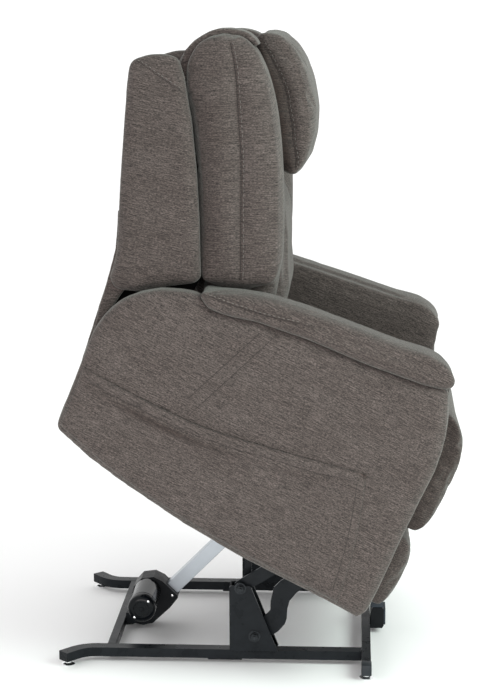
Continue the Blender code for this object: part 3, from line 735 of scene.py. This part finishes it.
def make_pocket(cover):
    """A patch pocket on the right arm: a rolled hem that stands off, and a slack mouth, with painted
    shade under the hem and along the mouth.
    """
    columns, rows = POCKET_COLUMNS, POCKET_ROWS
    tree = BVHTree.FromPolygons([v.co for v in cover.data.vertices],
                                [tuple(p.vertices) for p in cover.data.polygons])
    share = np.linspace(0.0, 1.0, columns)
    top_u, top_w = along_line(POCKET_TOP, share)
    low_u, low_w = along_line(POCKET_BOTTOM, share)
    outer, inner, dark = [], [], []
    for row in range(rows):
        drop = (row / (rows - 1)) ** 1.5
        for column in range(columns):
            a = share[column]
            bow = POCKET_FRONT_BOW * math.sin(math.pi * drop) * a ** 3
            u = top_u[column] + (low_u[column] - top_u[column]) * drop + bow
            w = top_w[column] + (low_w[column] - top_w[column]) * drop
            below = (top_w[column] - low_w[column]) * drop
            slack = math.sin(math.pi * a) ** 0.7
            pucker = math.sin(95.0 * a + 2.0 * math.sin(17.0 * a)) * math.sin(41.0 * a + 1.0)
            stand = 0.0028 + 0.0040 * slack * math.exp(-below / 0.060)
            stand += 0.0026 * math.sin(math.pi * min(below / 0.023, 1.0))
            stand -= 0.0022 * math.exp(-((below - 0.024) / 0.0035) ** 2)
            stand += 0.0050 * slack * math.exp(-((below - 0.031) / 0.012) ** 2)
            stand += 0.0010 * slack * pucker * math.exp(-((below - 0.034) / 0.030) ** 2)
            side = min(a, 1.0 - a) * (top_u[-1] - top_u[0])
            floor_room = (top_w[column] - low_w[column]) * (1.0 - drop)
            edge = min(side / 0.030, floor_room / 0.040, 1.0)
            edge = edge * edge * (3.0 - 2.0 * edge)
            stand = 0.0022 + (stand - 0.0022) * edge
            hit, _, _, _ = tree.ray_cast(Vector((u, -0.6, w)), Vector((0.0, 1.0, 0.0)))
            y = hit.y if hit else OUTER_FACE
            # Painted shade, read by the fabric through darken(): a band under the hem, strongest over the
            # rear half, a thin line along the mouth, and a darker front corner.
            fold = 0.25 + 0.75 * math.exp(-((a - 0.32) / 0.17) ** 2)
            under = math.exp(-((below - 0.036) / 0.009) ** 2) * fold
            lip = 0.35 * math.exp(-(below / 0.0030) ** 2)
            corner = math.exp(-(math.hypot(side if a > 0.5 else 1.0, below) / 0.012) ** 2)
            dark.append(min(1.0, 0.75 * under * edge + lip + 0.9 * corner))
            outer.append((u, y - stand, w))
            inner.append((u, y - stand + POCKET_CLOTH, w))
    faces = []
    count = rows * columns
    for row in range(rows - 1):
        for column in range(columns - 1):
            a = row * columns + column
            quad = (a, a + 1, a + columns + 1, a + columns)
            faces += [quad, tuple(count + k for k in quad[::-1])]
    border = list(range(columns)) + [row * columns + columns - 1 for row in range(1, rows)]
    border += list(range(count - 2, count - columns - 1, -1))
    border += [row * columns for row in range(rows - 2, 0, -1)]
    for a, b in zip(border, border[1:] + border[:1]):
        faces.append((b, a, count + a, count + b))
    mesh = bpy.data.meshes.new("side_pocket_cloth")
    mesh.from_pydata(outer + inner, [], faces)
    pocket = link("side_pocket_cloth", mesh)
    darken(pocket, np.array(dark + dark))
    weave(pocket, shift=2.3)
    grid = np.array(outer).reshape(rows, columns, 3)
    hem = []
    for k in range(6, columns - 4, 8):
        nearest = np.argmin(np.abs(top_w[k] - grid[:, k, 2] - POCKET_HEM))
        hem.append(tuple(grid[nearest, k]))
    front = [tuple(grid[k, columns - 5]) for k in range(8, rows - 2, 5)]
    sew("side_pocket_hem", pocket, [hem], "chair", (), 0.0006)
    sew("side_pocket_front", pocket, [front], "chair", (), 0.0006)
    finish_piece(pocket, "chair", FABRIC, ["side_pocket"])


# ---------------------------------------------------------------- back

BOLSTER_SEAM = [across([(-0.824, 0.998), (-0.808, 0.978), (-0.783, 0.943), (-0.745, 0.878),
                        (-0.690, 0.783), (-0.636, 0.675), (-0.582, 0.566), (-0.574, 0.545)], -0.330)]
# The piped edge that shows over the bolster, the shell's own side under the wing, and its lining.
BACK_RIM = [(-0.893, 0.880), (-0.903, 0.905), (-0.905, 0.935), (-0.897, 0.961), (-0.887, 0.980),
            (-0.875, 0.997), (-0.861, 1.010), (-0.839, 1.022), (-0.816, 1.029), (-0.801, 1.031),
            (-0.783, 1.028), (-0.768, 1.019), (-0.774, 1.014), (-0.790, 1.017), (-0.805, 1.014),
            (-0.832, 1.004), (-0.860, 0.982), (-0.876, 0.950), (-0.878, 0.915), (-0.872, 0.885)]
BACK_SHELL = [(-0.882, 0.564), (-0.864, 0.522), (-0.848, 0.480), (-0.838, 0.430), (-0.831, 0.392),
              (-0.825, 0.353), (-0.815, 0.310), (-0.800, 0.215), (-0.788, 0.215), (-0.802, 0.310),
              (-0.802, 0.350), (-0.797, 0.384), (-0.790, 0.430), (-0.790, 0.500)]
BACK_LINING = [(-0.812, 0.300), (-0.812, 0.450), (-0.700, 0.520), (-0.655, 0.500), (-0.655, 0.420),
               (-0.700, 0.340)]
# Each edge's name, outline, nearest and furthest distance from the middle, and material.
BACK_EDGES = [("back_rim_", BACK_RIM, (0.200, 0.296), FABRIC),
              ("back_shell_", BACK_SHELL, (0.288, 0.326), FABRIC),
              ("back_lining_", BACK_LINING, (0.277, 0.284), LINING)]
WING_SEAM = [across([(-0.988, 0.874), (-0.931, 0.866), (-0.868, 0.858)], -0.341)]


def make_back():
    bolster = from_nodes("back_bolster_cover_right", ["back_bolster_right"])
    cushion(bolster, 0.007, 8, 4.0, 0.012, 0.0055, BOLSTER_SEAM)
    weave(bolster, turn=math.radians(27), shift=5.3)
    # Painted shade on the bolster's outer side, growing behind its seam towards the wing.
    on_side = ramp_between(-read_points(bolster.data)[:, 1], 0.270, 0.310)
    darken(bolster, 0.20 * on_side * ramp_between(behind_seam(bolster, BOLSTER_SEAM[0]), 0.0, 0.060))
    wing = from_nodes("back_wing_cover_right", ["back_wing_right"])
    cushion(wing, 0.006, 6, 3.0, 0.006, 0.0055)
    weave(wing, turn=math.radians(14), shift=7.7)
    # Painted shade: the whole wing is darkened evenly.
    darken(wing, np.full(len(wing.data.vertices), 0.09))
    others = (mirrored(bolster, "back_bolster_cover_left"),
              mirrored(wing, "back_wing_cover_left", wing_drop))
    for label, pair, flip in (("right", (bolster, wing), False), ("left", others, True)):
        bolster_seam = flipped(BOLSTER_SEAM) if flip else BOLSTER_SEAM
        wing_seam = flipped(WING_SEAM) if flip else WING_SEAM
        sew("bolster_" + label, pair[0], bolster_seam, "back", (-0.0055 if flip else 0.0055,), 0.0008)
        sew("wing_" + label, pair[1], wing_seam, "back", (0.004,), 0.0006)
        finish_piece(pair[0], "back", FABRIC, ["back_bolster_" + label])
        finish_piece(pair[1], "back", FABRIC, ["back_wing_" + label])
    for name, node, pressure, cap, grow, shift in (
            ("lumbar_cushion_cover", "lumbar_cushion", 3.0, 0.008, 0.006, 11.0),
            ("back_top_roll_cover", "back_top_roll", 3.0, 0.006, 0.003, 12.0)):
        pad = cushion(from_nodes(name, [node]), 0.0075, 8, pressure, cap, grow)
        weave(pad, shift=shift)
        finish_piece(pad, "back", FABRIC, [node])
    for label, side in (("right", -1.0), ("left", 1.0)):
        for name, outline, depths, material in BACK_EDGES:
            drop = RIM_DROP if name == "back_rim_" and label == "left" else 0.0
            outline = [(u, w - drop) for u, w in outline]
            edge = slab(name + label, outline, *sorted(side * depth for depth in depths))
            remesh(edge, 0.005, 4 if material is FABRIC else 0)
            spread(edge, 0.0015)
            subdivide(edge)
            weave(edge, turn=math.radians(27), shift=9.0)
            finish_piece(edge, "back", material)
    rear = from_nodes("rear_cover_panel", ["rear_cover"])
    remesh(rear, 0.006, 3)
    subdivide(rear)
    weave(rear, shift=13.0)
    finish_piece(rear, "back", FABRIC, ["rear_cover"])


# ---------------------------------------------------------------- headrest

PILLOW_SIDES = (-0.190, 0.190)
PILLOW_SEAM = [across([(-0.764, 1.022), (-0.731, 0.999), (-0.693, 0.971), (-0.669, 0.948),
                       (-0.648, 0.919), (-0.625, 0.889), (-0.605, 0.857), (-0.583, 0.827),
                       (-0.574, 0.806)], side)
               for side in PILLOW_SIDES]
PILLOW_CROSS_SEAM = [across([(-0.688, 0.890), (-0.668, 0.902), (-0.648, 0.913)], side)
                     for side in PILLOW_SIDES]


def make_headrest():
    pillow = from_nodes("headrest_pillow_cover", ["headrest_pillow"])
    cushion(pillow, 0.0065, 5, 3.0, 0.007, 0.0010, PILLOW_SEAM)
    weave(pillow, turn=math.radians(20), shift=17.0)
    # Painted shade on the pillow's side panels, darkest behind the seam.
    behind = behind_seam(pillow, PILLOW_SEAM[0])
    on_side = ramp_between(np.abs(read_points(pillow.data)[:, 1]), 0.165, 0.183)
    by_seam = 0.5 * ramp_between(behind, -0.002, 0.006)
    darken(pillow, on_side * (by_seam + 0.4 * ramp_between(behind, 0.0, 0.030)))
    sew("headrest_right", pillow, PILLOW_SEAM[:1], "headrest", (0.0045,), 0.0008)
    sew("headrest_left", pillow, PILLOW_SEAM[1:], "headrest", (-0.0045,), 0.0008)
    sew("headrest_cross", pillow, PILLOW_CROSS_SEAM, "headrest", (), 0.0009)
    finish_piece(pillow, "headrest", FABRIC, ["headrest_pillow"])


# ---------------------------------------------------------------- seat and legrest

CHAISE = [(-0.100, 0.445), (-0.100, 0.462), (-0.060, 0.476), (-0.034, 0.483), (-0.010, 0.484),
          (0.013, 0.472), (0.034, 0.447), (0.049, 0.415), (0.059, 0.375), (0.063, 0.331),
          (0.064, 0.254), (0.059, 0.214), (0.044, 0.191), (-0.020, 0.190), (-0.022, 0.400),
          (-0.046, 0.430)]


def beside_arm(piece):
    """How near each point is to an arm, for its shade: 0 in the middle, 1 beside the arm."""
    return ramp_between(np.abs(read_points(piece.data)[:, 1]), 0.225, 0.262)


def make_seat_and_legrest():
    seat = cushion(from_nodes("seat_cushion_cover", ["seat_cushion"]), 0.008, 8, 4.0, 0.012, half=0.276)
    weave(seat, shift=19.0)
    finish_piece(seat, "chair", FABRIC, ["seat_cushion"])
    chaise = cushion(slab("chaise_pad_cover", CHAISE, -0.268, 0.268), 0.007, 6, 3.0, 0.009, -0.003)
    weave(chaise, shift=23.0)
    # Painted shade: the chaise darkened throughout, most beside the arms.
    darken(chaise, 0.14 + 0.30 * beside_arm(chaise))
    finish_piece(chaise, None, FABRIC, ["legrest_upper_pad"])
    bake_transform(chaise)
    lower = from_nodes("legrest_lower_cover", ["legrest_lower_pad"])
    cushion(lower, 0.007, 5, 3.0, 0.008, -0.004)
    weave(lower, shift=29.0)
    # Painted shade: the lower legrest darkened a little, most beside the arms.
    darken(lower, 0.04 + 0.20 * beside_arm(lower))
    finish_piece(lower, "legrest", FABRIC, ["legrest_lower_pad"])


# ---------------------------------------------------------------- steel, motor and boards

BASE_STEEL = ["base_rail_right", "base_rail_left", "rear_crossbar", "front_crossbar",
              "lift_bracket_right", "lift_bracket_left", "motor_clevis", "upper_pivot_bolt_right", "upper_pivot_bolt_left",
              "lower_pivot_bolt_right", "lower_pivot_bolt_left", "lower_lift_link_right",
              "lower_lift_link_left", "upper_lift_link_right", "upper_lift_link_left",
              "mechanism_plate_right", "mechanism_plate_left", "lift_cross_tube",
              "legrest_rear_link_right", "legrest_rear_link_left", "legrest_front_link_right",
              "legrest_front_link_left"]
DRESSED = [(BLACK_STEEL, 0.0010, BASE_STEEL),
           (CHROME, 0.0010, ["lift_rod", "legrest_actuator_rod", "recline_actuator_rod"]),
           (ALUMINIUM, 0.0016, ["lift_outer_tube"]),
           (BLACK_PLASTIC, 0.0018, ["lift_gear_housing", "front_stop", "control_box",
                                    "legrest_actuator_body", "recline_actuator_body"]),
           (PLYWOOD, 0.0008, ["seat_front_rail", "seat_rear_rail"]),
           (LINING, 0.0010, ["spring_deck", "back_frame", "headrest_board", "legrest_board"])]
SMOOTH_BELOW = math.radians(32.0)


def dress_frame():
    """Give the CAD metal, plastic and boards their finishes and a small round on every edge."""
    for material, width, names in DRESSED:
        for name in names:
            node = NODES[name]
            mesh = node.data
            mesh.materials.clear()
            mesh.materials.append(material)
            if "custom_normal" in mesh.attributes:
                mesh.attributes.remove(mesh.attributes["custom_normal"])
            mesh.shade_smooth()
            weld = node.modifiers.new("weld", "WELD")
            weld.merge_threshold = 0.00001
            round_edge = node.modifiers.new("round_edge", "BEVEL")
            round_edge.width = width
            round_edge.segments = 2
            round_edge.limit_method = "ANGLE"
            round_edge.angle_limit = SMOOTH_BELOW
            round_edge.harden_normals = True


# ---------------------------------------------------------------- small hardware, in the world frame

def block(shape, low, high, edge):
    """Add a box with rounded edges to a bmesh."""
    low, high = Vector(low), Vector(high)
    place = Matrix.Translation((low + high) / 2) @ Matrix.Diagonal((*(high - low), 1.0))
    made = bmesh.ops.create_cube(shape, size=1.0, matrix=place)
    edges = list({line for vertex in made["verts"] for line in vertex.link_edges})
    bmesh.ops.bevel(shape, geom=edges, offset=edge, segments=3, affect="EDGES", profile=0.5)


def lathe(shape, place, axis, profile, sides=24):
    """Add a closed turned body to a bmesh: profile is (distance along the axis, radius)."""
    along = Vector(axis).normalized()
    side = along.orthogonal().normalized()
    up = along.cross(side)
    rings = []
    for distance, radius in profile:
        centre = Vector(place) + distance * along
        angles = [2 * math.pi * k / sides for k in range(sides)]
        rings.append([shape.verts.new(centre + radius * (math.cos(a) * side + math.sin(a) * up))
                      for a in angles])
    for ring, after in zip(rings, rings[1:]):
        for k in range(sides):
            shape.faces.new((ring[k], ring[(k + 1) % sides], after[(k + 1) % sides], after[k]))
    shape.faces.new(rings[0][::-1])
    shape.faces.new(rings[-1])


def add_hardware(name, shape, body, material, nodes=()):
    mesh = bpy.data.meshes.new(name)
    shape.to_mesh(mesh)
    shape.free()
    mesh.materials.append(material)
    mesh.shade_smooth()
    mesh.set_sharp_from_angle(angle=SMOOTH_BELOW)
    piece = link(name, mesh)
    if nodes:
        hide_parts(*nodes)
    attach(piece, body)


GLIDE_PLACES = {"front_right": (0.2505, -0.336), "front_left": (0.2505, 0.336),
                "rear_right": (-0.4446, -0.2821), "rear_left": (-0.4446, 0.2821)}
GLIDE_PROFILE = [(0.0, 0.0148), (0.0010, 0.0164), (0.0028, 0.0164), (0.0046, 0.0135), (0.0060, 0.0080),
                 (0.0130, 0.0074)]
PIVOT_PLACES = ((-0.0415, 0.187), (-0.0095, 0.071))
WASHER_PROFILE = [(0.0, 0.0140), (0.0018, 0.0140), (0.0024, 0.0132)]
NUT_PROFILE = [(0.0, 0.0090), (0.0042, 0.0090), (0.0050, 0.0080)]
STUD_PROFILE = [(0.0045, 0.0046), (0.0080, 0.0046), (0.0088, 0.0036)]
MOTOR_AXIS = (-0.285, 0.097)
MOTOR_FACE = -0.1700
MOTOR_PROFILE = [(0.0, 0.0300), (0.0020, 0.0330), (0.1030, 0.0330), (0.1040, 0.0318), (0.1065, 0.0318),
                 (0.1075, 0.0334), (0.1265, 0.0334), (0.1310, 0.0318), (0.1340, 0.0285),
                 (0.1352, 0.0225), (0.1352, 0.0190), (0.1338, 0.0178), (0.1338, 0.0060),
                 (0.1350, 0.0050), (0.1352, 0.0010)]
MOTOR_SCREW_ANGLES = (50.0, 230.0)
SCREW_PROFILE = [(0.0, 0.0031), (0.0014, 0.0031), (0.0023, 0.0023), (0.0026, 0.0010)]
HOUSING_SCREWS = ((-0.3240, 0.0215), (-0.2245, 0.0865), (-0.2700, 0.1210))


def weld_bead(shape, start, end, radius):
    """A run of weld: a cord with small even ripples."""
    start, end = Vector(start), Vector(end)
    count = max(4, round((end - start).length / 0.0035))
    line = []
    for index in range(count + 1):
        ripple = 0.0006 * math.sin(2.4 * index)
        line.append(start.lerp(end, index / count) + Vector((0.0, ripple, 0.5 * ripple)))
    sweep(shape, line, radius, 8)


def make_hardware():
    for place, (x, y) in GLIDE_PLACES.items():
        shape = bmesh.new()
        lathe(shape, (x, y, 0.0), (0, 0, 1), GLIDE_PROFILE, 36)
        add_hardware("glide_foot_" + place, shape, "base", CHROME, ["glide_" + place])
    for label, side in (("right", -1.0), ("left", 1.0)):
        shape = bmesh.new()
        block(shape, (0.2388, min(side * 0.324, side * 0.3550), 0.0108),
              (0.2622, max(side * 0.324, side * 0.3550), 0.0374), 0.0025)
        add_hardware("crossbar_cap_" + label, shape, "base", CAP_PLASTIC)
        shape = bmesh.new()
        for x, z in PIVOT_PLACES:
            lathe(shape, (x, side * 0.2682, z), (0, side, 0), WASHER_PROFILE, 36)
            lathe(shape, (x, side * 0.2738, z), (0, side, 0), NUT_PROFILE, 6)
            lathe(shape, (x, side * 0.2738, z), (0, side, 0), STUD_PROFILE, 20)
        add_hardware("pivot_nuts_" + label, shape, "base", DARK_ZINC)
        shape = bmesh.new()
        weld_bead(shape, (-0.062, side * 0.2625, 0.0335), (0.040, side * 0.2625, 0.0335), 0.0027)
        weld_bead(shape, (-0.062, side * 0.2275, 0.0335), (0.040, side * 0.2275, 0.0335), 0.0027)
        weld_bead(shape, (0.2398, side * 0.231, 0.0345), (0.2398, side * 0.259, 0.0345), 0.0022)
        block(shape, (-0.120, min(side * 0.236, side * 0.254), 0.0066),
              (-0.040, max(side * 0.236, side * 0.254), 0.0124), 0.0015)
        add_hardware("rail_welds_" + label, shape, "base", BLACK_STEEL)
    shape = bmesh.new()
    lathe(shape, (MOTOR_AXIS[0], -0.035, MOTOR_AXIS[1]), (0, -1, 0), MOTOR_PROFILE, 64)
    add_hardware("lift_motor_can", shape, "lift_actuator", MOTOR_BLACK, ["lift_motor"])
    shape = bmesh.new()
    for degrees in MOTOR_SCREW_ANGLES:
        angle = math.radians(degrees)
        place = (MOTOR_AXIS[0] + 0.0262 * math.cos(angle), MOTOR_FACE + 0.0012,
                 MOTOR_AXIS[1] + 0.0262 * math.sin(angle))
        lathe(shape, place, (0, -1, 0), SCREW_PROFILE, 16)
    for x, z in HOUSING_SCREWS:
        lathe(shape, (x, -0.0340, z), (0, -1, 0), SCREW_PROFILE, 16)
    add_hardware("lift_motor_screws", shape, "lift_actuator", CHROME)
    shape = bmesh.new()
    block(shape, (0.2940, -0.036, 0.020), (0.2985, 0.020, 0.060), 0.0015)
    block(shape, (0.2630, -0.036, 0.0640), (0.2930, 0.020, 0.0672), 0.0012)
    add_hardware("front_stop_pad", shape, "base", STOP_RUBBER)


dress_frame()
make_hardware()
make_camera()
make_stage()
make_arms()
make_back()
make_headrest()
make_seat_and_legrest()
